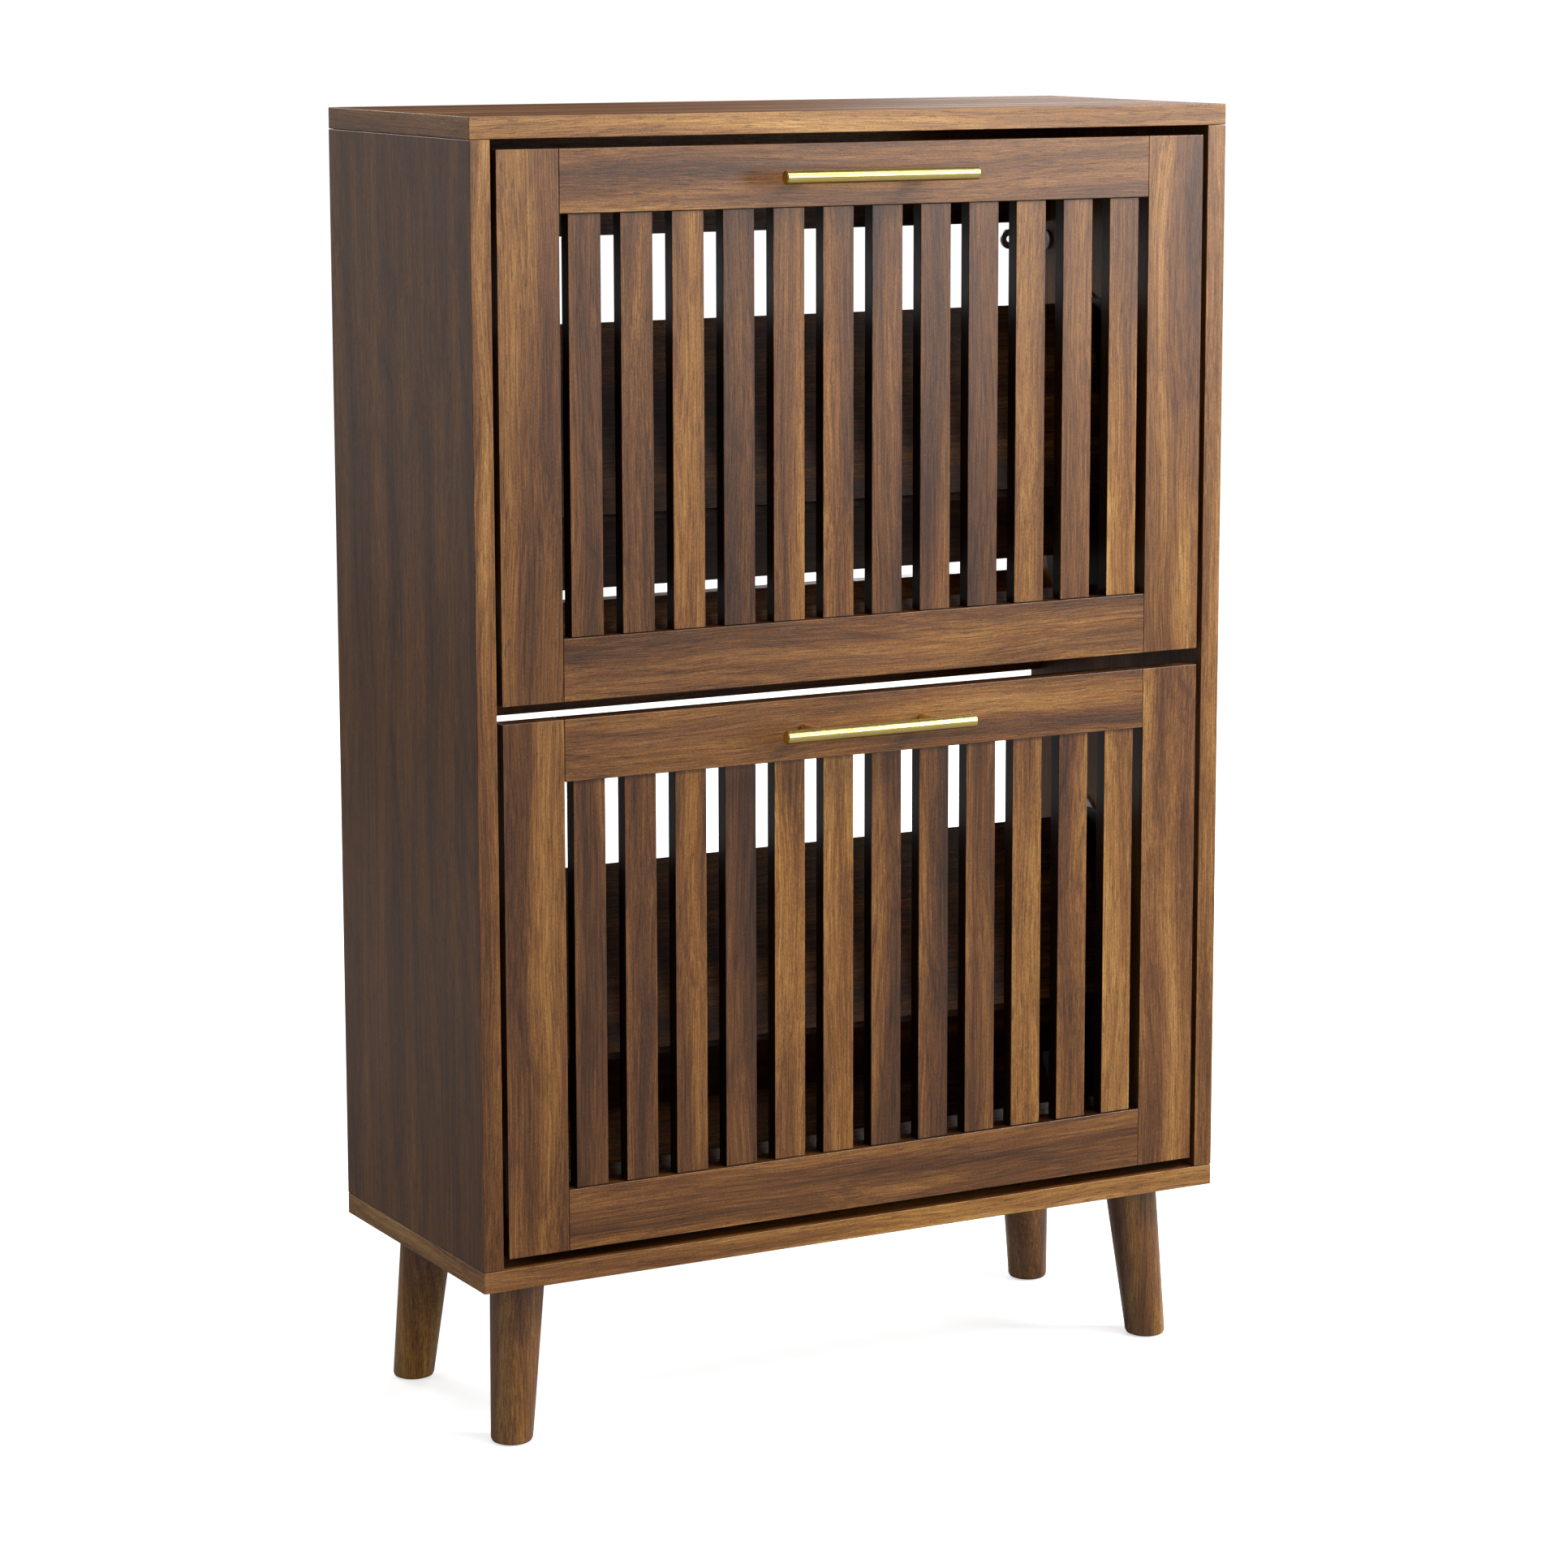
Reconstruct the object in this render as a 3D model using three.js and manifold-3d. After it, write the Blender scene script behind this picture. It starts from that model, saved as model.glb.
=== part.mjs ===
// Shoe cabinet with two flip-down drawers on splayed legs.
// Millimetres, +Z up. The doors face -Y. The origin is on the floor, under the middle of the
// cabinet's outer box, which runs from the handles' fronts to the open back.
import * as THREE from "three";
import { mergeVertices } from "three/addons/utils/BufferGeometryUtils.js";
import Module from "manifold-3d";

const wasm = await Module();
wasm.setup();

// ---- Driving dimensions ----

// Gap left between pieces that touch.
const SEAM = 0.3;

// Carcass: the body without its legs.
const WIDTH = 600;
const DEPTH = 240;
const HEIGHT = 806.5;
const PANEL = 15;
const BACK_RAIL_HEIGHT = 80;
const BACK_RAIL_THICKNESS = 15;

// Legs: round, tapered, and leaning outward to their feet.
const LEG_HEIGHT = 120;
const LEG_TOP_RADIUS = 19.5;
const LEG_FOOT_RADIUS = 15;
const LEG_TOP_EDGE = 1;
const LEG_FOOT_EDGE = 3;
const LEG_INSET_X = 45;
const LEG_INSET_Y = 43;
const LEG_SPLAY_X = 10;
const LEG_SPLAY_Y = 9;

// Doors: two stiles, two rails and a row of upright slats between them.
const DOOR_SIDE_GAP = 4.25;
const DOOR_TOP_GAP = 7;
const DOOR_MIDDLE_GAP = 12;
const DOOR_BOTTOM_GAP = 7.5;
const DOOR_THICKNESS = 15;
const STILE_WIDTH = 46;
const RAIL_HEIGHT = 43.5;
const SLAT_COUNT = 12;
const SLAT_WIDTH = 24.5;
const SLAT_THICKNESS = 10.8;
const SLAT_RECESS = 2;

// Handles: a round bar on two posts, at the middle of each door's top rail.
const BAR_LENGTH = 153;
const BAR_RADIUS = 4.8;
const BAR_EDGE = 0.7;
const BAR_REACH = 25.5;
const POST_SPACING = 96;
const POST_RADIUS = 4;

// Flip-down drawers. Points are [depth behind the door's back face, height above its lower edge].
const PIVOT_HEIGHT = 40;
const PIVOT_DOOR_GAP = 1;
const OPEN_ANGLE = THREE.MathUtils.degToRad(48);
const STOP_RADIUS = 90;
const STOP_ANGLE = THREE.MathUtils.degToRad(60);
const PIN_RADIUS = 4;
const COLLAR_STEP = 2;
const COLLAR_GAP = 3;
const PIVOT_CLEARANCE = 0.3;
const STOP_CLEARANCE = 0.6;
const PLATE_THICKNESS = 8;
const PLATE_SIDE_GAP = 26;
const PLATE_CORNER = 8;
const PLATE_OUTLINE = [[7, 18], [91, 2], [123, 2], [148, 46], [148, 78], [104, 252]];
const SHELF_THICKNESS = 9;
const DIVIDER_FOOT = [62, 116.5];
const DIVIDER_LENGTH = 135;
const DIVIDER_LEAN = THREE.MathUtils.degToRad(11.1);
const REAR_SHELF_LENGTH = 96.9;
const REAR_SHELF_SLOPE = THREE.MathUtils.degToRad(40.2);
const FRONT_SHELF_EDGE = [22, 47.5];
const FRONT_SHELF_LENGTH = 90;
const FRONT_SHELF_SLOPE = THREE.MathUtils.degToRad(20);

// Hinge brackets: a steel plate on the carcass side with a pivot pin and a stop pin.
const BRACKET_THICKNESS = 2;
const BRACKET_CORNER = 5;
const BRACKET_OUTLINE = [[-7, 26], [22, 26], [145, 190], [145, 254], [131, 246], [-7, 64]];

// Wall bracket: a slotted steel angle in the rear corner, under the top back rail.
const STRAP_WIDTH = 15.4;
const STRAP_THICKNESS = 2;
const STRAP_SIDE_LEG = 26;
const STRAP_REAR_LEG = 30.4;
const STRAP_DROP = 5.7;
const STRAP_SLOT_WIDTH = 4.8;
const STRAP_SLOT_LENGTH = 17;
const STRAP_SLOT_INSET = 7;

// Facets round a full turn.
const LEG_FACETS = 48;
const BAR_FACETS = 32;
const PIN_FACETS = 24;
const ARC_STEPS = 12;

// ---- Dimensions that follow ----

const INNER_HALF = WIDTH / 2 - PANEL;
const FRONT = -DEPTH / 2;
const REAR = DEPTH / 2;
const DOOR_HALF = INNER_HALF - DOOR_SIDE_GAP;
const DOOR_GAPS = DOOR_TOP_GAP + DOOR_MIDDLE_GAP + DOOR_BOTTOM_GAP;
const DOOR_HEIGHT = (HEIGHT - 2 * PANEL - DOOR_GAPS) / 2;
const LOWER_DOOR_Z = PANEL + DOOR_BOTTOM_GAP;
const UPPER_DOOR_Z = LOWER_DOOR_Z + DOOR_HEIGHT + DOOR_MIDDLE_GAP;
const SLAT_AREA = 2 * (DOOR_HALF - STILE_WIDTH);
const SLAT_PITCH = SLAT_AREA / SLAT_COUNT;
const PLATE_OUTER = INNER_HALF - PLATE_SIDE_GAP;
const PLATE_INNER = PLATE_OUTER - PLATE_THICKNESS;
const SHELF_HALF = PLATE_INNER - SEAM;
const COLLAR_RADIUS = PIN_RADIUS + COLLAR_STEP;
const PIVOT = [COLLAR_RADIUS + PIVOT_DOOR_GAP, PIVOT_HEIGHT];
const HANDLE_PROJECTION = BAR_REACH + BAR_RADIUS;

// ---- Materials ----

const walnut = new THREE.MeshStandardMaterial({ color: 0x7a5540, roughness: 0.45 });
const walnutDark = new THREE.MeshStandardMaterial({ color: 0x4f3d34, roughness: 0.5 });
const brass = new THREE.MeshStandardMaterial({ color: 0xcbb45a, roughness: 0.25, metalness: 1 });
const zinc = new THREE.MeshStandardMaterial({ color: 0xb4b6b8, roughness: 0.35, metalness: 1 });
const plastic = new THREE.MeshStandardMaterial({ color: 0x1c1b1b, roughness: 0.5 });

// ---- Shapes ----

// A box from its low corner to its high corner.
function block(low, high) {
  const size = high.map((value, i) => value - low[i]);
  const geometry = new THREE.BoxGeometry(...size);
  return geometry.translate(...low.map((value, i) => value + size[i] / 2));
}

// A closed outline with every corner rounded.
function roundedOutline(points, radius) {
  const corners = points.map((point) => new THREE.Vector2(...point));
  const shape = new THREE.Shape();
  corners.forEach((corner, i) => {
    const before = corners.at(i - 1).clone().sub(corner).setLength(radius).add(corner);
    const after = corners[(i + 1) % corners.length].clone().sub(corner).setLength(radius).add(corner);
    if (i === 0) shape.moveTo(before.x, before.y);
    else shape.lineTo(before.x, before.y);
    shape.quadraticCurveTo(corner.x, corner.y, after.x, after.y);
  });
  return shape.closePath();
}

// A circular hole about a point.
function roundHole(centre, radius) {
  return new THREE.Path().absarc(...centre, radius, 0, 2 * Math.PI, true);
}

// An outline in the depth-height plane, extruded across the cabinet from one X to another.
function extrudeAcross(shape, lowX, highX) {
  const geometry = new THREE.ExtrudeGeometry(shape, {
    depth: highX - lowX,
    bevelEnabled: false,
    curveSegments: ARC_STEPS,
  });
  const axes = new THREE.Matrix4().makeBasis(
    new THREE.Vector3(0, 1, 0),
    new THREE.Vector3(0, 0, 1),
    new THREE.Vector3(1, 0, 0),
  );
  return geometry.applyMatrix4(axes).translate(lowX, 0, 0);
}

// A turned solid from its profile of [radius, height] points, standing along +Z.
function turned(profile, facets) {
  const points = profile.map((point) => new THREE.Vector2(...point));
  return new THREE.LatheGeometry(points, facets).rotateX(Math.PI / 2);
}

// A round pin along X between two X positions, centred on a depth-height point.
function pinAcross(fromX, toX, centre, radius) {
  const length = Math.abs(toX - fromX);
  const geometry = new THREE.CylinderGeometry(radius, radius, length, PIN_FACETS);
  return geometry.rotateZ(Math.PI / 2).translate((fromX + toX) / 2, ...centre);
}

function toSolid(geometry) {
  const plain = geometry.clone();
  plain.deleteAttribute("normal");
  plain.deleteAttribute("uv");
  const merged = mergeVertices(plain, 1e-4);
  return new wasm.Manifold(new wasm.Mesh({
    numProp: 3,
    vertProperties: merged.attributes.position.array,
    triVerts: new Uint32Array(merged.index.array),
  }));
}

function toGeometry(solid) {
  const mesh = solid.getMesh();
  const geometry = new THREE.BufferGeometry();
  geometry.setAttribute("position", new THREE.BufferAttribute(mesh.vertProperties, 3));
  geometry.setIndex(new THREE.BufferAttribute(mesh.triVerts, 1));
  geometry.computeVertexNormals();
  return geometry;
}

// One body from pieces that overlap each other.
function joined(geometries) {
  return toGeometry(geometries.map(toSolid).reduce((whole, piece) => whole.add(piece)));
}

function addPiece(group, name, geometry, material) {
  const mesh = new THREE.Mesh(geometry, material);
  mesh.name = name;
  group.add(mesh);
}

// ---- Carcass ----

function addCarcass(group) {
  const halfWidth = WIDTH / 2;
  const low = PANEL + SEAM;
  const high = HEIGHT - PANEL - SEAM;
  addPiece(group, "top_panel",
    block([-halfWidth, FRONT, HEIGHT - PANEL], [halfWidth, REAR, HEIGHT]), walnut);
  addPiece(group, "bottom_panel",
    block([-halfWidth, FRONT, 0], [halfWidth, REAR, PANEL]), walnut);
  addPiece(group, "side_panel_left",
    block([-halfWidth, FRONT, low], [-INNER_HALF, REAR, high]), walnutDark);
  addPiece(group, "side_panel_right",
    block([INNER_HALF, FRONT, low], [halfWidth, REAR, high]), walnutDark);
  const middle = (HEIGHT - BACK_RAIL_HEIGHT) / 2;
  const rails = { bottom: low, middle, top: high - BACK_RAIL_HEIGHT };
  for (const [place, z] of Object.entries(rails)) {
    addPiece(group, `back_rail_${place}`, block(
      [SEAM - INNER_HALF, REAR - BACK_RAIL_THICKNESS, z],
      [INNER_HALF - SEAM, REAR, z + BACK_RAIL_HEIGHT],
    ), walnut);
  }
}

// ---- Legs ----

// A leg hangs from z = 0 down to the floor. Its top and foot are level, so it leans by a shear.
function legGeometry(sideX, sideY) {
  const profile = [
    [0, -LEG_HEIGHT],
    [LEG_FOOT_RADIUS - LEG_FOOT_EDGE, -LEG_HEIGHT],
    [LEG_FOOT_RADIUS - 0.3 * LEG_FOOT_EDGE, -LEG_HEIGHT + 0.3 * LEG_FOOT_EDGE],
    [LEG_FOOT_RADIUS, -LEG_HEIGHT + LEG_FOOT_EDGE],
    [LEG_TOP_RADIUS, -SEAM - LEG_TOP_EDGE],
    [LEG_TOP_RADIUS - LEG_TOP_EDGE, -SEAM],
    [0, -SEAM],
  ];
  const shear = new THREE.Matrix4().set(
    1, 0, -sideX * LEG_SPLAY_X / LEG_HEIGHT, 0,
    0, 1, -sideY * LEG_SPLAY_Y / LEG_HEIGHT, 0,
    0, 0, 1, 0,
    0, 0, 0, 1,
  );
  return turned(profile, LEG_FACETS).applyMatrix4(shear);
}

function addLegs(group) {
  for (const [endName, sideY] of [["front", -1], ["rear", 1]]) {
    for (const [sideName, sideX] of [["left", -1], ["right", 1]]) {
      const geometry = legGeometry(sideX, sideY);
      geometry.translate(
        sideX * (WIDTH / 2 - LEG_INSET_X), sideY * (DEPTH / 2 - LEG_INSET_Y), 0);
      addPiece(group, `leg_${endName}_${sideName}`, geometry, walnut);
    }
  }
}

// ---- Doors ----

// A door stands on its own z = 0, with its back face at y = 0 and its thickness before it.
function addDoorFrame(group, drawer) {
  const stileInner = DOOR_HALF - STILE_WIDTH;
  addPiece(group, `${drawer}_stile_left`,
    block([-DOOR_HALF, -DOOR_THICKNESS, 0], [-stileInner, 0, DOOR_HEIGHT]), walnut);
  addPiece(group, `${drawer}_stile_right`,
    block([stileInner, -DOOR_THICKNESS, 0], [DOOR_HALF, 0, DOOR_HEIGHT]), walnut);
  for (const [place, z] of [["bottom", 0], ["top", DOOR_HEIGHT - RAIL_HEIGHT]]) {
    addPiece(group, `${drawer}_rail_${place}`, block(
      [SEAM - stileInner, -DOOR_THICKNESS, z],
      [stileInner - SEAM, 0, z + RAIL_HEIGHT],
    ), walnut);
  }
}

function addSlats(group, drawer) {
  const front = SLAT_RECESS - DOOR_THICKNESS;
  for (let i = 0; i < SLAT_COUNT; i++) {
    const centre = (i + 0.5) * SLAT_PITCH - SLAT_AREA / 2;
    const number = String(i + 1).padStart(2, "0");
    addPiece(group, `${drawer}_slat_${number}`, block(
      [centre - SLAT_WIDTH / 2, front, RAIL_HEIGHT + SEAM],
      [centre + SLAT_WIDTH / 2, front + SLAT_THICKNESS, DOOR_HEIGHT - RAIL_HEIGHT - SEAM],
    ), walnut);
  }
}

function addHandle(group, drawer) {
  const half = BAR_LENGTH / 2;
  const bar = turned([
    [0, -half],
    [BAR_RADIUS - BAR_EDGE, -half],
    [BAR_RADIUS, BAR_EDGE - half],
    [BAR_RADIUS, half - BAR_EDGE],
    [BAR_RADIUS - BAR_EDGE, half],
    [0, half],
  ], BAR_FACETS).rotateY(Math.PI / 2).translate(0, -BAR_REACH, 0);
  const postLength = BAR_REACH - SEAM;
  const posts = [-1, 1].map((side) => new THREE.CylinderGeometry(
    POST_RADIUS, POST_RADIUS, postLength, PIN_FACETS,
  ).translate(side * POST_SPACING / 2, -SEAM - postLength / 2, 0));
  const geometry = joined([bar, ...posts]);
  geometry.translate(0, -DOOR_THICKNESS, DOOR_HEIGHT - RAIL_HEIGHT / 2);
  addPiece(group, `${drawer}_handle`, geometry, brass);
}

// ---- Drawer interiors ----

function polar(centre, radius, angle) {
  return [centre[0] + radius * Math.cos(angle), centre[1] + radius * Math.sin(angle)];
}

// The slot that the stop pin runs in: an arc about the pivot with round ends.
function stopSlot() {
  const halfWidth = PIN_RADIUS + STOP_CLEARANCE;
  const low = STOP_ANGLE - OPEN_ANGLE;
  const high = STOP_ANGLE;
  const slot = new THREE.Path();
  slot.absarc(...PIVOT, STOP_RADIUS + halfWidth, low, high, false);
  slot.absarc(...polar(PIVOT, STOP_RADIUS, high), halfWidth, high, high + Math.PI, false);
  slot.absarc(...PIVOT, STOP_RADIUS - halfWidth, high, low, true);
  slot.absarc(...polar(PIVOT, STOP_RADIUS, low), halfWidth, low + Math.PI, low + 2 * Math.PI, false);
  return slot;
}

function addSidePlates(group, drawer) {
  const top = PLATE_OUTLINE.at(-1)[1];
  const foot = PLATE_OUTLINE[0][1] + 2 * PLATE_CORNER;
  const shape = roundedOutline([[SEAM, foot], ...PLATE_OUTLINE, [SEAM, top]], PLATE_CORNER);
  shape.holes.push(roundHole(PIVOT, PIN_RADIUS + PIVOT_CLEARANCE), stopSlot());
  addPiece(group, `${drawer}_side_plate_left`,
    extrudeAcross(shape, -PLATE_OUTER, -PLATE_INNER), plastic);
  addPiece(group, `${drawer}_side_plate_right`,
    extrudeAcross(shape, PLATE_INNER, PLATE_OUTER), plastic);
}

// Where the line through a point along a direction crosses another such line.
function crossing(point, along, otherPoint, otherAlong) {
  const gap = otherPoint.clone().sub(point);
  return point.clone().addScaledVector(along, gap.cross(otherAlong) / along.cross(otherAlong));
}

function outlineOf(points) {
  return new THREE.Shape(points.map((point) => new THREE.Vector2(point.x, point.y)));
}

// The divider leans back between the two tiers, and the rear shelf slopes down from its back.
function addTiers(group, drawer) {
  const foot = new THREE.Vector2(...DIVIDER_FOOT);
  const up = new THREE.Vector2(Math.sin(DIVIDER_LEAN), Math.cos(DIVIDER_LEAN));
  const behind = new THREE.Vector2(up.y, -up.x);
  const dividerBack = foot.clone().addScaledVector(behind, SHELF_THICKNESS);
  addPiece(group, `${drawer}_divider`, extrudeAcross(outlineOf([
    foot,
    dividerBack,
    dividerBack.clone().addScaledVector(up, DIVIDER_LENGTH),
    foot.clone().addScaledVector(up, DIVIDER_LENGTH),
  ]), -SHELF_HALF, SHELF_HALF), walnut);

  const down = new THREE.Vector2(Math.cos(REAR_SHELF_SLOPE), -Math.sin(REAR_SHELF_SLOPE));
  const over = new THREE.Vector2(-down.y, down.x).setLength(SHELF_THICKNESS);
  const joint = dividerBack.clone().addScaledVector(behind, SEAM);
  const rearEdge = foot.clone().addScaledVector(down, REAR_SHELF_LENGTH);
  addPiece(group, `${drawer}_rear_shelf`, extrudeAcross(outlineOf([
    crossing(foot, down, joint, up),
    rearEdge,
    rearEdge.clone().add(over),
    crossing(foot.clone().add(over), down, joint, up),
  ]), -SHELF_HALF, SHELF_HALF), walnut);
}

// The front shelf is the floor of the front tier.
function addFrontShelf(group, drawer) {
  const edge = new THREE.Vector2(...FRONT_SHELF_EDGE);
  const down = new THREE.Vector2(Math.cos(FRONT_SHELF_SLOPE), -Math.sin(FRONT_SHELF_SLOPE));
  const under = new THREE.Vector2(down.y, -down.x).setLength(SHELF_THICKNESS);
  const rearEdge = edge.clone().addScaledVector(down, FRONT_SHELF_LENGTH);
  addPiece(group, `${drawer}_front_shelf`, extrudeAcross(outlineOf([
    edge.clone().add(under),
    rearEdge.clone().add(under),
    rearEdge,
    edge,
  ]), -SHELF_HALF, SHELF_HALF), walnut);
}

// ---- Hinge brackets ----

function addHingeBrackets(group, drawer) {
  const wall = INNER_HALF - SEAM;
  const face = wall - BRACKET_THICKNESS;
  const root = wall - BRACKET_THICKNESS / 2;
  const collarEnd = PLATE_OUTER + COLLAR_GAP;
  const pinEnd = PLATE_INNER + SEAM;
  const stop = polar(PIVOT, STOP_RADIUS, STOP_ANGLE);
  for (const [sideName, side] of [["left", -1], ["right", 1]]) {
    const plateX = [side * wall, side * face].sort((a, b) => a - b);
    const pieces = [extrudeAcross(roundedOutline(BRACKET_OUTLINE, BRACKET_CORNER), ...plateX)];
    for (const centre of [PIVOT, stop]) {
      pieces.push(pinAcross(side * root, side * pinEnd, centre, PIN_RADIUS));
      pieces.push(pinAcross(side * root, side * collarEnd, centre, COLLAR_RADIUS));
    }
    addPiece(group, `${drawer}_hinge_bracket_${sideName}`, joined(pieces), zinc);
  }
}

// ---- Wall bracket ----

// A flat strap from z = 0 up, along +X from x = 0, with a round tip and a slot.
function strapLeg(length) {
  const middle = STRAP_WIDTH / 2;
  const shape = new THREE.Shape();
  shape.moveTo(0, 0);
  shape.lineTo(length - middle, 0);
  shape.absarc(length - middle, middle, middle, -Math.PI / 2, Math.PI / 2, false);
  shape.lineTo(0, STRAP_WIDTH);
  const radius = STRAP_SLOT_WIDTH / 2;
  const slotEnd = length - STRAP_SLOT_INSET;
  const slotStart = slotEnd - STRAP_SLOT_LENGTH + 2 * radius;
  const slot = new THREE.Path();
  slot.absarc(slotEnd, middle, radius, -Math.PI / 2, Math.PI / 2, false);
  slot.absarc(slotStart, middle, radius, Math.PI / 2, 1.5 * Math.PI, false);
  shape.holes.push(slot);
  return new THREE.ExtrudeGeometry(shape, {
    depth: STRAP_THICKNESS,
    bevelEnabled: false,
    curveSegments: ARC_STEPS,
  }).rotateX(Math.PI / 2).translate(0, STRAP_THICKNESS, 0);
}

function addWallBracket(group) {
  const rearLeg = strapLeg(STRAP_REAR_LEG).rotateZ(Math.PI);
  const sideLeg = strapLeg(STRAP_SIDE_LEG).rotateZ(-Math.PI / 2);
  const geometry = joined([rearLeg, sideLeg.translate(-STRAP_THICKNESS, 0, 0)]);
  const under = HEIGHT - PANEL - SEAM - BACK_RAIL_HEIGHT - STRAP_DROP - STRAP_WIDTH;
  geometry.translate(INNER_HALF - SEAM, REAR, under);
  addPiece(group, "wall_bracket", geometry, zinc);
}

// ---- Cabinet ----

function addDrawer(group, drawer, z) {
  const place = new THREE.Group();
  place.position.set(0, FRONT + DOOR_THICKNESS, z);
  addDoorFrame(place, drawer);
  addSlats(place, drawer);
  addHandle(place, drawer);
  addSidePlates(place, drawer);
  addTiers(place, drawer);
  addFrontShelf(place, drawer);
  addHingeBrackets(place, drawer);
  group.add(place);
}

const cabinet = new THREE.Group();
cabinet.position.set(0, HANDLE_PROJECTION / 2, LEG_HEIGHT);
addCarcass(cabinet);
addLegs(cabinet);
addDrawer(cabinet, "upper", UPPER_DOOR_Z);
addDrawer(cabinet, "lower", LOWER_DOOR_Z);
addWallBracket(cabinet);

export default cabinet;
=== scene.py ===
"""Looks of the shoe cabinet: walnut laminate, brass bars, black plastic and zinc-plated steel.

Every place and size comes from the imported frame. Lengths are in metres.
"""
import math
import random

import bmesh
import bpy
from mathutils import Matrix, Vector


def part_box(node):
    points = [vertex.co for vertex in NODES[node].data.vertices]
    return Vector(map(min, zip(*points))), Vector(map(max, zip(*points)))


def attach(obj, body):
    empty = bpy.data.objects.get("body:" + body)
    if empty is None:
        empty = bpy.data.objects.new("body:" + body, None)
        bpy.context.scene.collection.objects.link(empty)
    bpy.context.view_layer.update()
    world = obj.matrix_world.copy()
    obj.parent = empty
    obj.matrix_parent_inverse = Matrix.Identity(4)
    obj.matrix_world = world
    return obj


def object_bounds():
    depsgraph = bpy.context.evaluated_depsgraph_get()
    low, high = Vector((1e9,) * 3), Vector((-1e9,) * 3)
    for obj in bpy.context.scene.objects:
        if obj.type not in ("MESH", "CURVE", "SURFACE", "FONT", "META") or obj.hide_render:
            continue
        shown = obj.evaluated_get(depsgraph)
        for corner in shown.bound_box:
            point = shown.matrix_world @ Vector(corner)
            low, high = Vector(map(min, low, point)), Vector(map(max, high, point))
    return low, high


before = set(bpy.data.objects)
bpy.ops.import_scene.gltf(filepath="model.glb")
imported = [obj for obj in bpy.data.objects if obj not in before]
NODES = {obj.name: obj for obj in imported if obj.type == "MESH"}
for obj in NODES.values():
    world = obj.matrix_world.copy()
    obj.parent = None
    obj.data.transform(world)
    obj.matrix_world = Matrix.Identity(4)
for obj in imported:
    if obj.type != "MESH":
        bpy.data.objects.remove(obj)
CAD_BOX = [list(corner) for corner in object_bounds()]
AXES = "XYZ"
DRAWERS = ("upper", "lower")
SIDES = {"left": -1, "right": 1}
INNER_BOARDS = ("divider", "rear_shelf", "front_shelf")
BACK_RAILS = ("bottom", "middle", "top")
WHITE = (1, 1, 1, 1)
MM = 0.001


# ---- Colours ----

def linear(hex_colour):
    """A linear RGBA colour from an sRGB hex string."""
    parts = [int(hex_colour[i:i + 2], 16) / 255 for i in (0, 2, 4)]
    parts = [c / 12.92 if c <= 0.04045 else ((c + 0.055) / 1.055) ** 2.4 for c in parts]
    return (*parts, 1.0)


# ---- Node helpers ----

class Tree:
    """Short calls for building a node tree."""

    def __init__(self, tree):
        self.tree = tree

    def node(self, kind, inputs=None, **settings):
        made = self.tree.nodes.new(kind)
        for name, value in settings.items():
            setattr(made, name, value)
        for name, value in (inputs or {}).items():
            self.feed(made.inputs[name], value)
        return made

    def feed(self, socket, value):
        if isinstance(value, bpy.types.NodeSocket):
            self.tree.links.new(value, socket)
        else:
            socket.default_value = value

    def math(self, operation, first, second=0.0):
        return self.node("ShaderNodeMath", {0: first, 1: second}, operation=operation).outputs[0]

    def vector_math(self, operation, first, second):
        made = self.node("ShaderNodeVectorMath", {0: first, 1: second}, operation=operation)
        return made.outputs[0]

    def scaled(self, vector, factors):
        return self.vector_math("MULTIPLY", vector, factors)

    def noise(self, vector, scale, detail, roughness=0.5):
        return self.node("ShaderNodeTexNoise", {
            "Vector": vector, "Scale": scale, "Detail": detail, "Roughness": roughness,
        })

    def ramp(self, factor, stops):
        made = self.node("ShaderNodeValToRGB", {"Fac": factor})
        elements = made.color_ramp.elements
        for place, _ in stops[2:]:
            elements.new(place)
        for element, (place, colour) in zip(elements, stops):
            element.position = place
            element.color = colour if isinstance(colour, tuple) else (colour,) * 3 + (1.0,)
        return made.outputs["Color"]

    def mix(self, factor, first, second, blend="MIX"):
        made = self.node("ShaderNodeMix", data_type="RGBA", blend_type=blend)
        for index, value in ((0, factor), (6, first), (7, second)):
            self.feed(made.inputs[index], value)
        return made.outputs[2]

    def map_range(self, value, low, high, to_low, to_high):
        made = self.node("ShaderNodeMapRange", {
            "Value": value, "From Min": low, "From Max": high, "To Min": to_low, "To Max": to_high,
        })
        return made.outputs[0]

    def swing(self, noise, spread, reach):
        """A noise centred on zero: the spread about its middle fills half the reach each way."""
        return self.math("MULTIPLY", self.map_range(noise, 0.5 - spread, 0.5 + spread, -0.5, 0.5), reach)

    def bump(self, height, strength, distance):
        made = self.node("ShaderNodeBump", {"Height": height, "Strength": strength, "Distance": distance})
        return made.outputs[0]


def new_material(name):
    """An empty material with its tree, its Principled shader and its output."""
    material = bpy.data.materials.new(name)
    material.use_nodes = True
    material.node_tree.nodes.clear()
    tree = Tree(material.node_tree)
    shader = tree.node("ShaderNodeBsdfPrincipled")
    tree.node("ShaderNodeOutputMaterial", {"Surface": shader.outputs[0]})
    return material, tree, shader


# ---- Walnut ----

# Walnut's tones from dark to light, and the tone it has before the grain swings it.
WALNUT_TONES = (
    (0.0, "281509"), (0.25, "482910"), (0.45, "643d19"), (0.62, "7e5224"), (0.82, "9b6e35"), (1.0, "b88d51"),
)
MIDDLE_TONE = 0.48
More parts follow.
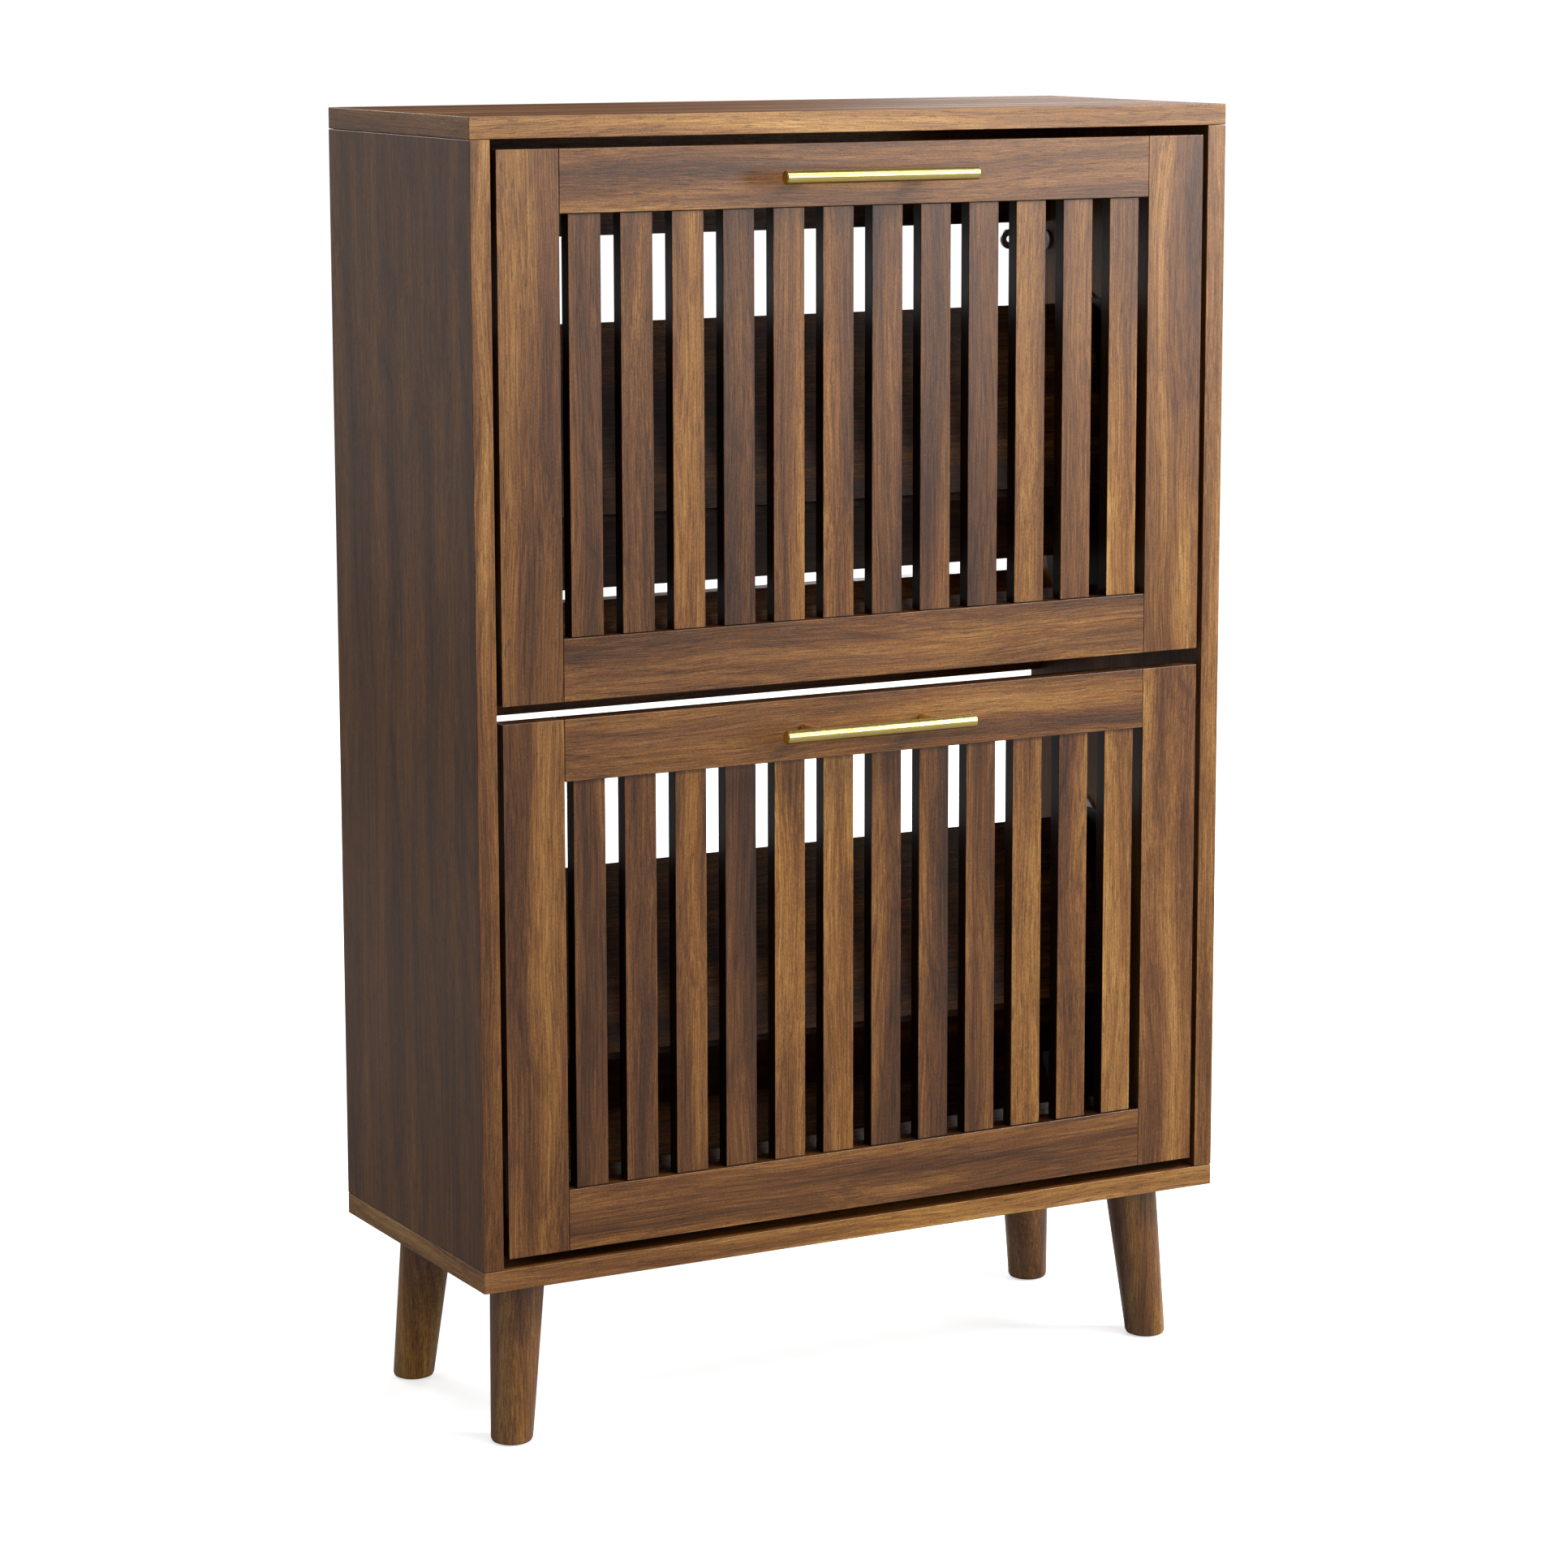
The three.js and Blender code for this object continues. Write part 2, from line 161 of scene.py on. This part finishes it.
# How far each layer of the grain swings the tone. The side panels are calm boards, with fainter bands.
BAND_REACH = 0.48
CALM_BAND_REACH = 0.22
STREAK_REACH = 0.14
FIBRE_REACH = 0.19
FLECK_REACH = 0.30
RING_REACH = 0.11
RINGS_PER_SWELL = 13.0
# How far the grain wanders sideways.
WANDER = 26 * MM
HEARTWOOD = (0.82, 0.76, 0.92, 1.0)
SAPWOOD = (1.12, 1.06, 0.78, 1.0)
PORE = "2a1810"
GRAIN_RELIEF = 0.12 * MM
COAT_ROUGHNESS = 0.22
# The turn that lays the grain, which runs along Z, along each axis of the object.
GRAIN_TURN = {"X": (0, math.pi / 2, 0), "Y": (math.pi / 2, 0, 0), "Z": (0, 0, 0)}
# Each board is cut from its own place in the wood, up to this far off.
CUT_RANGE = 5


def walnut_group():
    """Walnut grain running along Z of the coordinates fed to it: its colour, gloss and relief."""
    group = bpy.data.node_groups.new("walnut_grain", "ShaderNodeTree")
    group.interface.new_socket("Vector", in_out="INPUT", socket_type="NodeSocketVector")
    for name in ("Light", "Warm", "Figure"):
        group.interface.new_socket(name, in_out="INPUT", socket_type="NodeSocketFloat")
    group.interface.new_socket("Color", in_out="OUTPUT", socket_type="NodeSocketColor")
    for name in ("Roughness", "Height"):
        group.interface.new_socket(name, in_out="OUTPUT", socket_type="NodeSocketFloat")
    tree = Tree(group)
    given = tree.node("NodeGroupInput").outputs
    place = given["Vector"]

    # The grain wanders sideways over a hand's length.
    drift = tree.noise(tree.scaled(place, (1, 1, 0.30)), 11.0, 2.0)
    centred = tree.vector_math("SUBTRACT", drift.outputs["Color"], (0.5, 0.5, 0.5))
    bent = tree.vector_math("ADD", tree.scaled(centred, (WANDER, WANDER, 0.0)), place)

    # Broad bands, growth rings as the contour lines of a long swell, and ever finer fibres.
    bands = tree.noise(tree.scaled(bent, (1, 1, 0.055)), 42.0, 1.0).outputs["Fac"]
    swell = tree.noise(tree.scaled(bent, (1, 1, 0.11)), 15.0, 0.5).outputs["Fac"]
    phase = tree.math("FRACT", tree.math("MULTIPLY", swell, RINGS_PER_SWELL))
    rings = tree.ramp(phase, [(0.0, 1.0), (0.10, 0.25), (0.55, 0.0), (0.90, 0.45), (1.0, 1.0)])
    streaks = tree.noise(tree.scaled(bent, (1, 1, 0.008)), 560.0, 1.0, 0.6).outputs["Fac"]
    fibres = tree.noise(tree.scaled(bent, (1, 1, 0.018)), 1150.0, 1.0, 0.8).outputs["Fac"]
    pores = tree.noise(tree.scaled(bent, (1, 1, 0.060)), 1400.0, 0.0).outputs["Fac"]
    flecks = tree.noise(tree.scaled(place, (1, 1, 0.35)), 1600.0, 0.0).outputs["Fac"]

    tone = tree.swing(bands, 0.20, given["Figure"])
    tone = tree.math("ADD", tone, tree.swing(streaks, 0.14, STREAK_REACH))
    tone = tree.math("ADD", tone, tree.swing(fibres, 0.16, FIBRE_REACH))
    tone = tree.math("ADD", tone, tree.math("MULTIPLY", tree.math("SUBTRACT", flecks, 0.5), FLECK_REACH))
    tone = tree.math("SUBTRACT", tone, tree.math("MULTIPLY", rings, RING_REACH))
    tone = tree.math("ADD", tone, tree.math("ADD", given["Light"], MIDDLE_TONE))
    colour = tree.ramp(tone, [(stop, linear(shade)) for stop, shade in WALNUT_TONES])

    # Purple-brown heartwood and golden sapwood lie in bands of their own.
    hue = tree.noise(tree.scaled(bent, (1, 1, 0.06)), 36.0, 1.5).outputs["Fac"]
    hue = tree.math("ADD", hue, given["Warm"])
    cool = tree.map_range(hue, 0.50, 0.32, 0.0, 0.75)
    warm = tree.map_range(hue, 0.50, 0.66, 0.0, 0.60)
    colour = tree.mix(cool, colour, tree.mix(1.0, colour, HEARTWOOD, "MULTIPLY"))
    colour = tree.mix(warm, colour, tree.mix(1.0, colour, SAPWOOD, "MULTIPLY"))
    pore_mask = tree.map_range(pores, 0.62, 0.70, 0.0, 0.45)
    colour = tree.mix(pore_mask, colour, linear(PORE))

    roughness = tree.map_range(fibres, 0.3, 0.7, 0.29, 0.37)
    height = tree.math("SUBTRACT", tree.math("MULTIPLY", fibres, 0.6), pore_mask)
    tree.node("NodeGroupOutput", {"Color": colour, "Roughness": roughness, "Height": height})
    return group


WALNUT = walnut_group()


def walnut(name, grain, light, warm=0.0, shade=None, figure=BAND_REACH,
           relief=0.5, coat=0.0, specular=0.5, dull=0.0):
    """Walnut with its grain along an axis.

    light and warm shift its tone, shade is a tint that paints shade over it all, figure is how far its broad
    bands swing, and dull is what is added to its roughness.
    """
    material, tree, shader = new_material(name)
    draw = random.Random(name)
    place = tree.node("ShaderNodeTexCoord").outputs["Object"]
    offset = tuple(draw.uniform(-CUT_RANGE, CUT_RANGE) for _ in AXES)
    mapped = tree.node("ShaderNodeMapping", {
        "Vector": place, "Location": offset, "Rotation": GRAIN_TURN[grain],
    })
    grains = tree.node("ShaderNodeGroup", node_tree=WALNUT)
    given = {"Vector": mapped.outputs[0], "Light": light, "Warm": warm, "Figure": figure}
    for socket, value in given.items():
        tree.feed(grains.inputs[socket], value)
    colour = grains.outputs["Color"]
    if shade:
        colour = tree.mix(1.0, colour, shade, "MULTIPLY")
    tree.feed(shader.inputs["Base Color"], colour)
    tree.feed(shader.inputs["Roughness"], tree.math("ADD", grains.outputs["Roughness"], dull))
    tree.feed(shader.inputs["Normal"], tree.bump(grains.outputs["Height"], relief, GRAIN_RELIEF))
    shader.inputs["Coat Weight"].default_value = coat
    shader.inputs["Coat Roughness"].default_value = COAT_ROUGHNESS
    shader.inputs["Specular IOR Level"].default_value = specular
    return material


# ---- Metals and plastic ----

def brushed_brass():
    """Pale brass, brushed along X."""
    material, tree, shader = new_material("brushed_brass")
    place = tree.node("ShaderNodeTexCoord").outputs["Object"]
    lines = tree.noise(tree.scaled(place, (0.02, 1, 1)), 5200.0, 2.0).outputs["Fac"]
    patches = tree.noise(place, 60.0, 2.0).outputs["Fac"]
    colour = tree.mix(patches, linear("e6d083"), linear("d8bd6c"))
    tree.feed(shader.inputs["Base Color"], colour)
    tree.feed(shader.inputs["Roughness"], tree.map_range(lines, 0.3, 0.7, 0.16, 0.24))
    tree.feed(shader.inputs["Normal"], tree.bump(lines, 0.12, 0.05 * MM))
    shader.inputs["Metallic"].default_value = 1.0
    return material


def zinc_plate():
    """Dull zinc with faint crystals a few millimetres across."""
    material, tree, shader = new_material("zinc_plate")
    place = tree.node("ShaderNodeTexCoord").outputs["Object"]
    cells = tree.node("ShaderNodeTexVoronoi", {"Vector": place, "Scale": 160.0})
    fine = tree.noise(place, 900.0, 3.0).outputs["Fac"]
    blend = tree.math("MULTIPLY", cells.outputs["Color"], 0.35)
    colour = tree.mix(blend, linear("c4c7c9"), linear("a2a6a9"))
    tree.feed(shader.inputs["Base Color"], colour)
    tree.feed(shader.inputs["Roughness"], tree.map_range(fine, 0.3, 0.7, 0.28, 0.42))
    tree.feed(shader.inputs["Normal"], tree.bump(fine, 0.10, 0.1 * MM))
    shader.inputs["Metallic"].default_value = 0.4
    return material


def moulded_plastic():
    """Black plastic with a fine pebbled grain."""
    material, tree, shader = new_material("moulded_plastic")
    place = tree.node("ShaderNodeTexCoord").outputs["Object"]
    pebble = tree.noise(place, 1400.0, 2.0).outputs["Fac"]
    clouds = tree.noise(place, 35.0, 2.0).outputs["Fac"]
    tree.feed(shader.inputs["Base Color"], tree.mix(clouds, linear("161514"), linear("201e1d")))
    tree.feed(shader.inputs["Roughness"], tree.map_range(clouds, 0.3, 0.7, 0.42, 0.55))
    tree.feed(shader.inputs["Normal"], tree.bump(pebble, 0.25, 0.1 * MM))
    return material


BRASS = brushed_brass()
ZINC = zinc_plate()
PLASTIC = moulded_plastic()


# ---- Finishing the CAD nodes ----

# How far the edges of each kind of piece are rounded.
BOARD_ROUND = 0.5 * MM
SHELF_ROUND = 0.4 * MM
LEG_ROUND = 0.3 * MM
STEEL_ROUND = 0.2 * MM
BAR_ROUND = 0.15 * MM
ROUND_SEGMENTS = 2
# Edges that turn by more than this many degrees are rounded, on the legs by more than the second.
SHARP = 30.0
LEG_SHARP = 40.0
WELD_REACH = 1e-6

# Tones of the panels' edge bands, of the doors' frames, and of their slats from left to right: how much
# lighter or darker, and how much warmer or cooler.
EDGE_BAND_WARM = -0.04
FRAME_WARM = -0.02
RAIL_LIGHT = 0.06
STILE_LIGHT = {"left": 0.05, "right": 0.12}
SLAT_LIGHT = (-0.08, -0.08, 0.00, -0.16, 0.12, 0.05, -0.12, -0.08, -0.02, 0.08, 0.08, 0.18)
SLAT_WARM = (-0.03, -0.06, 0.02, -0.08, 0.08, 0.04, -0.08, -0.04, -0.02, 0.02, -0.04, 0.02)
# Tints of painted shade: for the door boards' edges and the slats' sides, which stand in the deep shade of
# the gaps, and for the inner boards, which stand in the drawers' shade.
BOARD_EDGE_SHADE = (0.34, 0.30, 0.28, 1.0)
SLAT_SIDE_SHADE = (0.10, 0.09, 0.085, 1.0)
INNER_PAINTED_SHADE = (0.85, 0.83, 0.80, 1.0)


def soften(node, edge, angle=SHARP):
    """Joins the node's split corners and rounds its edges, with modifiers alone."""
    obj = NODES[node]
    mesh = obj.data
    if "custom_normal" in mesh.attributes:
        mesh.attributes.remove(mesh.attributes["custom_normal"])
    mesh.polygons.foreach_set("use_smooth", [True] * len(mesh.polygons))
    weld = obj.modifiers.new("weld", "WELD")
    weld.merge_threshold = WELD_REACH
    bevel = obj.modifiers.new("edges", "BEVEL")
    bevel.width = edge
    bevel.segments = ROUND_SEGMENTS
    bevel.limit_method = "ANGLE"
    bevel.angle_limit = math.radians(angle)
    bevel.harden_normals = True


def paint(node, materials, chooser=None):
    """Gives a node its materials. chooser says which one a face takes, from its normal."""
    mesh = NODES[node].data
    mesh.materials.clear()
    for material in materials:
        mesh.materials.append(material)
    for face in mesh.polygons:
        face.material_index = chooser(face.normal) if chooser else 0


def main_axis(normal):
    return max(range(3), key=lambda i: abs(normal[i]))


def finish_panel(node, grain, light, edge_light, **finish):
    """A panel whose edges carry a lighter band, with the grain along each edge. The band's lightness is
    partly the edge band's own tone and partly painted light.
    """
    low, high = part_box(node)
    size = high - low
    thin = min(range(3), key=lambda i: size[i])
    others = [i for i in range(3) if i != thin]
    materials = [walnut(f"walnut_{node}", grain, light, **finish)]
    choice = {thin: 0}
    for axis in others:
        along = [i for i in others if i != axis][0]
        choice[axis] = len(materials)
        band = f"walnut_{node}_band_{AXES[axis].lower()}"
        materials.append(walnut(band, AXES[along], edge_light, EDGE_BAND_WARM))
    paint(node, materials, lambda normal: choice[main_axis(normal)])
    soften(node, BOARD_ROUND)


def finish_carcass():
    """The top reflects the least of the panels, so that it doesn't turn white when seen flat on."""
    # The edge bands' lift is partly their own tone and partly painted light.
    finish_panel("top_panel", "X", light=0.06, edge_light=0.25, specular=0.07, dull=0.21)
    finish_panel("bottom_panel", "X", light=0.02, edge_light=0.28, specular=0.25)
    for side in SIDES:
        finish_panel(f"side_panel_{side}", "Z", light=-0.04, edge_light=0.16, warm=0.07,
                     figure=CALM_BAND_REACH)
    for place in BACK_RAILS:
        finish_panel(f"back_rail_{place}", "X", light=-0.04, edge_light=0.0)


def finish_door_board(node, grain, light, warm, edge_tint):
    """A board with veneer on its front and back; its edges take a darker tint that paints the shade they
    stand in.
    """
    face = walnut(f"walnut_{node}", grain, light, warm)
    edge = walnut(f"walnut_{node}_edge", grain, light, warm, edge_tint)
    # The edge faces take the darker tint, which paints the shade of the gaps they face.
    paint(node, [face, edge], lambda normal: int(AXES[main_axis(normal)] != "Y"))
    soften(node, BOARD_ROUND)


def finish_doors():
    for drawer in DRAWERS:
        for side in SIDES:
            # Frame edges and slat sides take a darker tint: painted shade.
            finish_door_board(f"{drawer}_stile_{side}", "Z", STILE_LIGHT[side], FRAME_WARM, BOARD_EDGE_SHADE)
        for place in ("top", "bottom"):
            finish_door_board(f"{drawer}_rail_{place}", "X", RAIL_LIGHT, FRAME_WARM, BOARD_EDGE_SHADE)
        for i, (light, warm) in enumerate(zip(SLAT_LIGHT, SLAT_WARM), start=1):
            finish_door_board(f"{drawer}_slat_{i:02d}", "Z", light, warm, SLAT_SIDE_SHADE)


def finish_whole(node, material, edge, **limits):
    """One material all over a node."""
    paint(node, [material])
    soften(node, edge, **limits)


def finish_insides():
    for drawer in DRAWERS:
        for piece in INNER_BOARDS:
            node = f"{drawer}_{piece}"
            # Darker tone and a dark tint: painted shade of the drawers' insides.
            wood = walnut(f"walnut_{node}", "X", light=-0.16, warm=-0.06, shade=INNER_PAINTED_SHADE, specular=0.15)
            finish_whole(node, wood, SHELF_ROUND)
        finish_whole(f"{drawer}_handle", BRASS, BAR_ROUND)
        for side in SIDES:
            finish_whole(f"{drawer}_side_plate_{side}", PLASTIC, BOARD_ROUND)
            finish_whole(f"{drawer}_hinge_bracket_{side}", ZINC, STEEL_ROUND)
    finish_whole("wall_bracket", ZINC, STEEL_ROUND)


def finish_legs():
    for end in ("front", "rear"):
        for side in SIDES:
            node = f"leg_{end}_{side}"
            wood = walnut(f"walnut_{node}", "Z", light=0.16, warm=0.10, relief=0.3, coat=0.5)
            finish_whole(node, wood, LEG_ROUND, angle=LEG_SHARP)


finish_carcass()
finish_doors()
finish_insides()
finish_legs()


# ---- Fasteners ----

HEAD_RADIUS = 3.6 * MM
HEAD_HEIGHT = 1.5 * MM
CROSS_HALF_WIDTH = 0.45 * MM
CROSS_REACH = 2.1 * MM
CROSS_DEPTH = 0.9 * MM
HEAD_RINGS = 14
HEAD_FACETS = 48
# The first screw of a group stands turned by this many radians, and each further one by so many more.
FIRST_SPIN = 0.3
SPIN_STEP = 0.7

# Half the handle's 96 mm hole spacing.
HANDLE_SCREW_REACH = 48 * MM
STEEL_THICKNESS = 2 * MM
# Places of a hinge bracket's screws, as shares of its depth and its height.
BRACKET_SCREWS = ((0.06, 0.10), (0.93, 0.93), (0.52, 0.58))
# How far towards its ends a board's two end screws stand.
END_SCREW_SHARE = 0.62
WALL_SCREW_INSET = 13 * MM
CAM_INSET = 34 * MM
CAM_RADIUS = 7.5 * MM
CAM_HEIGHT = 0.9 * MM


def head_height(x, y, radius, height):
    """How far a domed cross-head screw stands up at a point of its face."""
    share = min(1.0, math.hypot(x, y) / radius)
    rise = height * math.sqrt(max(0.0, 1 - share ** 4))
    small, large = sorted((abs(x), abs(y)))
    if small < CROSS_HALF_WIDTH and large < CROSS_REACH:
        rise -= CROSS_DEPTH
    return rise


def add_head(mesh_builder, matrix, radius=HEAD_RADIUS, height=HEAD_HEIGHT):
    """A domed screw head on the matrix's Z, its flat back at the matrix's origin."""
    def corner(x, y):
        return mesh_builder.verts.new(matrix @ Vector((x, y, head_height(x, y, radius, height))))

    angles = [math.tau * i / HEAD_FACETS for i in range(HEAD_FACETS)]
    rings = []
    for ring in range(1, HEAD_RINGS + 1):
        reach = radius * ring / HEAD_RINGS
        rings.append([corner(reach * math.cos(angle), reach * math.sin(angle)) for angle in angles])
    crown = corner(0, 0)
    for i in range(HEAD_FACETS):
        following = (i + 1) % HEAD_FACETS
        mesh_builder.faces.new((crown, rings[0][i], rings[0][following]))
        for inner, outer in zip(rings, rings[1:]):
            mesh_builder.faces.new((inner[i], outer[i], outer[following], inner[following]))
    mesh_builder.faces.new(list(reversed(rings[-1])))


def add_screws(name, places, axis, body, **sizes):
    """One zinc-plated object that holds a group of screw heads facing along an axis, riding on a body."""
    turn = Vector(axis).to_track_quat("Z", "Y").to_matrix().to_4x4()
    mesh_builder = bmesh.new()
    for index, place in enumerate(places):
        spin = Matrix.Rotation(SPIN_STEP * index + FIRST_SPIN, 4, "Z")
        add_head(mesh_builder, Matrix.Translation(place) @ turn @ spin, **sizes)
    mesh = bpy.data.meshes.new(name)
    mesh_builder.to_mesh(mesh)
    mesh_builder.free()
    mesh.materials.append(ZINC)
    screws = bpy.data.objects.new(name, mesh)
    bpy.context.scene.collection.objects.link(screws)
    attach(screws, body)


def add_handle_screws():
    """Two screws hold each handle from behind the door's top rail, in line with its posts."""
    for drawer in DRAWERS:
        low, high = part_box(f"{drawer}_rail_top")
        middle = (low[2] + high[2]) / 2
        places = [Vector((sign * HANDLE_SCREW_REACH, high[1], middle)) for sign in SIDES.values()]
        add_screws(f"{drawer}_handle_screws", places, (0, 1, 0), f"{drawer}_drawer")


def add_bracket_screws():
    """Three screws hold each hinge bracket to the side panel."""
    for drawer in DRAWERS:
        for side, sign in SIDES.items():
            low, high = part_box(f"{drawer}_hinge_bracket_{side}")
            face = (high[0] if sign > 0 else low[0]) - sign * STEEL_THICKNESS
            depth, height = high[1] - low[1], high[2] - low[2]
            places = [
                Vector((face, low[1] + share_y * depth, low[2] + share_z * height))
                for share_y, share_z in BRACKET_SCREWS
            ]
            add_screws(f"{drawer}_hinge_bracket_{side}_screws", places, (-sign, 0, 0), "carcass")


def end_points(node):
    """Two points inside the end of a sloping board, on the line through its middle."""
    mesh = NODES[node].data
    end = max(vertex.co[0] for vertex in mesh.vertices)
    corners = {(round(v.co[1], 5), round(v.co[2], 5)) for v in mesh.vertices if v.co[0] > end - MM}
    corners = [Vector(corner) for corner in sorted(corners)]
    middle = sum(corners, Vector((0, 0))) / len(corners)
    far = max(corners, key=lambda corner: (corner - middle).length)
    near = min((c for c in corners if c != far), key=lambda corner: (corner - far).length)
    tip = (far + near) / 2
    return [middle.lerp(tip, END_SCREW_SHARE), middle.lerp(2 * middle - tip, END_SCREW_SHARE)]


def add_plate_screws():
    """Screws through the side plates into the ends of the divider and the shelves."""
    for drawer in DRAWERS:
        for side, sign in SIDES.items():
            low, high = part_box(f"{drawer}_side_plate_{side}")
            face = high[0] if sign > 0 else low[0]
            places = []
            for piece in INNER_BOARDS:
                places += [Vector((face, y, z)) for y, z in end_points(f"{drawer}_{piece}")]
            add_screws(f"{drawer}_side_plate_{side}_screws", places, (sign, 0, 0), f"{drawer}_drawer")


def add_wall_bracket_screw():
    """One screw through the slot of the wall bracket's side leg, into the side panel."""
    low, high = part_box("wall_bracket")
    middle = (low[2] + high[2]) / 2
    place = Vector((high[0] - STEEL_THICKNESS, low[1] + WALL_SCREW_INSET, middle))
    add_screws("wall_bracket_screw", [place], (-1, 0, 0), "carcass")


def add_cams():
    """Cam locks in the back rails, near both ends of each."""
    for rail in BACK_RAILS:
        low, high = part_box(f"back_rail_{rail}")
        middle = (low[2] + high[2]) / 2
        places = [Vector((x, high[1], middle)) for x in (low[0] + CAM_INSET, high[0] - CAM_INSET)]
        add_screws(f"back_rail_{rail}_cams", places, (0, 1, 0), "carcass",
                   radius=CAM_RADIUS, height=CAM_HEIGHT)


add_handle_screws()
add_bracket_screws()
add_plate_screws()
add_wall_bracket_screw()
add_cams()


# ---- Camera ----

CAMERA_PLACE = (-1.5452, -2.8572, 1.0243)
# Degrees that the camera looks down by, and is turned to the right by.
CAMERA_DOWN = 9.675
CAMERA_RIGHT = 28.921
LENS_MM = 103.74
SENSOR_MM = 36.0
SHIFT = (-0.032, -0.03)


def add_camera():
    data = bpy.data.cameras.new("camera")
    data.lens = LENS_MM
    data.sensor_width = SENSOR_MM
    data.shift_x, data.shift_y = SHIFT
    camera = bpy.data.objects.new("camera", data)
    camera.location = CAMERA_PLACE
    camera.rotation_euler = (math.radians(90 - CAMERA_DOWN), 0, math.radians(-CAMERA_RIGHT))
    bpy.context.scene.collection.objects.link(camera)
    bpy.context.scene.camera = camera


# ---- Light and floor ----

# The strength of the surroundings as they light the cabinet, and as the camera sees them.
AMBIENT = 0.18
BACKDROP = 1.05

# The floor as it lights the cabinet, and as the camera sees it: there its glow grows with the distance
# from the cabinet, until it is as white as the backdrop.
FLOOR_GREY = (0.25, 0.25, 0.25, 1)
FLOOR_SEEN = (0.8, 0.8, 0.8, 1)
GLOW_FROM, GLOW_TO = 0.5, 3.0
GLOW_NEAR, GLOW_FAR = 0.62, 0.90
FLOOR_SIZE = 60
FLOOR_DROP = 0.5 * MM

MIDDLE = (Vector(CAD_BOX[0]) + Vector(CAD_BOX[1])) / 2
UPPER_DOOR = (0, 0, 0.8)
# Name, place, target, size and watts of each softbox.
SOFTBOXES = (
    ("key", (2.2, -1.6, 2.4), MIDDLE, (1.0, 0.9), 112),
    ("veil_right", (2.3, -2.9, 1.2), UPPER_DOOR, (1.6, 1.4), 38),
    ("veil_top", (1.3, -2.9, 1.6), UPPER_DOOR, (1.8, 1.0), 20),
    ("overhead", (0.4, -1.5, 2.8), UPPER_DOOR, (1.6, 1.2), 27),
    ("rear_right", (2.15, 2.3, 1.3), MIDDLE, (1.4, 1.6), 32),
    ("rear_high", (-0.6, 2.4, 2.0), MIDDLE, (1.6, 1.4), 27),
    ("left_fill", (-2.6, 0.2, 1.2), MIDDLE, (1.4, 1.4), 10),
    ("left_rear", (-1.6, 2.2, 1.0), MIDDLE, (1.6, 1.6), 3),
)


def add_softbox(name, place, target, size, power):
    data = bpy.data.lights.new(name, "AREA")
    data.shape = "RECTANGLE"
    data.size, data.size_y = size
    data.energy = power
    light = bpy.data.objects.new(name, data)
    light.location = place
    light.rotation_euler = (Vector(target) - Vector(place)).to_track_quat("-Z", "Y").to_euler()
    bpy.context.scene.collection.objects.link(light)
    light.visible_camera = False


def add_world():
    """A white backdrop that lights the cabinet only softly."""
    world = bpy.data.worlds.new("studio")
    world.use_nodes = True
    tree = Tree(world.node_tree)
    world.node_tree.nodes.clear()
    seen = tree.node("ShaderNodeLightPath").outputs["Is Camera Ray"]
    lit = tree.node("ShaderNodeBackground", {"Color": WHITE, "Strength": AMBIENT})
    white = tree.node("ShaderNodeBackground", {"Color": WHITE, "Strength": BACKDROP})
    mixed = tree.node("ShaderNodeMixShader", {0: seen, 1: lit.outputs[0], 2: white.outputs[0]})
    tree.node("ShaderNodeOutputWorld", {"Surface": mixed.outputs[0]})
    bpy.context.scene.world = world


def add_floor():
    """A pale floor that melts into the backdrop and keeps a faint shadow under the cabinet."""
    material, tree, shader = new_material("pale_floor")
    seen = tree.node("ShaderNodeLightPath").outputs["Is Camera Ray"]
    shader.inputs["Roughness"].default_value = 0.9
    tree.feed(shader.inputs["Base Color"], tree.mix(seen, FLOOR_GREY, FLOOR_SEEN))
    shader.inputs["Emission Color"].default_value = WHITE
    place = tree.node("ShaderNodeTexCoord").outputs["Object"]
    away = tree.node("ShaderNodeVectorMath", {0: place}, operation="LENGTH").outputs["Value"]
    glow = tree.map_range(away, GLOW_FROM, GLOW_TO, GLOW_NEAR, GLOW_FAR)
    tree.feed(shader.inputs["Emission Strength"], tree.math("MULTIPLY", seen, glow))
    bpy.ops.mesh.primitive_plane_add(size=FLOOR_SIZE, location=(0, 0, -FLOOR_DROP))
    floor = bpy.context.object
    floor.name = "floor"
    floor.data.materials.append(material)


add_camera()
add_world()
add_floor()
for softbox in SOFTBOXES:
    add_softbox(*softbox)
bpy.context.scene.view_settings.view_transform = "Standard"
